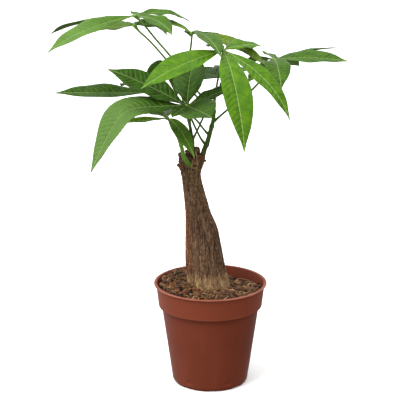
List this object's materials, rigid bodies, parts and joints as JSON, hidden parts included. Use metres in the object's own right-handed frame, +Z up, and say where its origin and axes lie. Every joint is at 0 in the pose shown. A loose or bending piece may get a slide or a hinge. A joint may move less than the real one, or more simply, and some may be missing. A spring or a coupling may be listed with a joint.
{
  "type": "potted money tree",
  "caption": "Small money tree with a swollen woody trunk and hand-shaped leaves on green shoots, growing in bark compost in a round tapered plastic nursery pot.",
  "frame": {"origin": "middle of the pot's foot, on the surface that the pot stands on", "axes": "+Z up along the pot's axis, -Y towards the front that the picture shows, +X to the right"},
  "size_m": [0.3083, 0.2449, 0.3987],
  "materials": {
    "plastic": "satin",
    "compost": "matte",
    "bark": "matte",
    "green_stem": "satin",
    "leaf": "satin"
  },
  "bodies": {
    "root": {"pot": "plastic", "compost": "compost", "trunk": "bark", "shoot_right": "green_stem", "shoot_left": "green_stem", "shoot_front": "green_stem", "leaf_front": "leaf", "leaf_crown": "leaf", "leaf_left_top": "leaf", "leaf_left_back": "leaf", "leaf_right": "leaf", "leaf_middle": "leaf", "leaf_left": "leaf", "leaf_hanging": "leaf", "leaf_right_back": "leaf", "leaf_back": "leaf"}
  },
  "joints": []
}
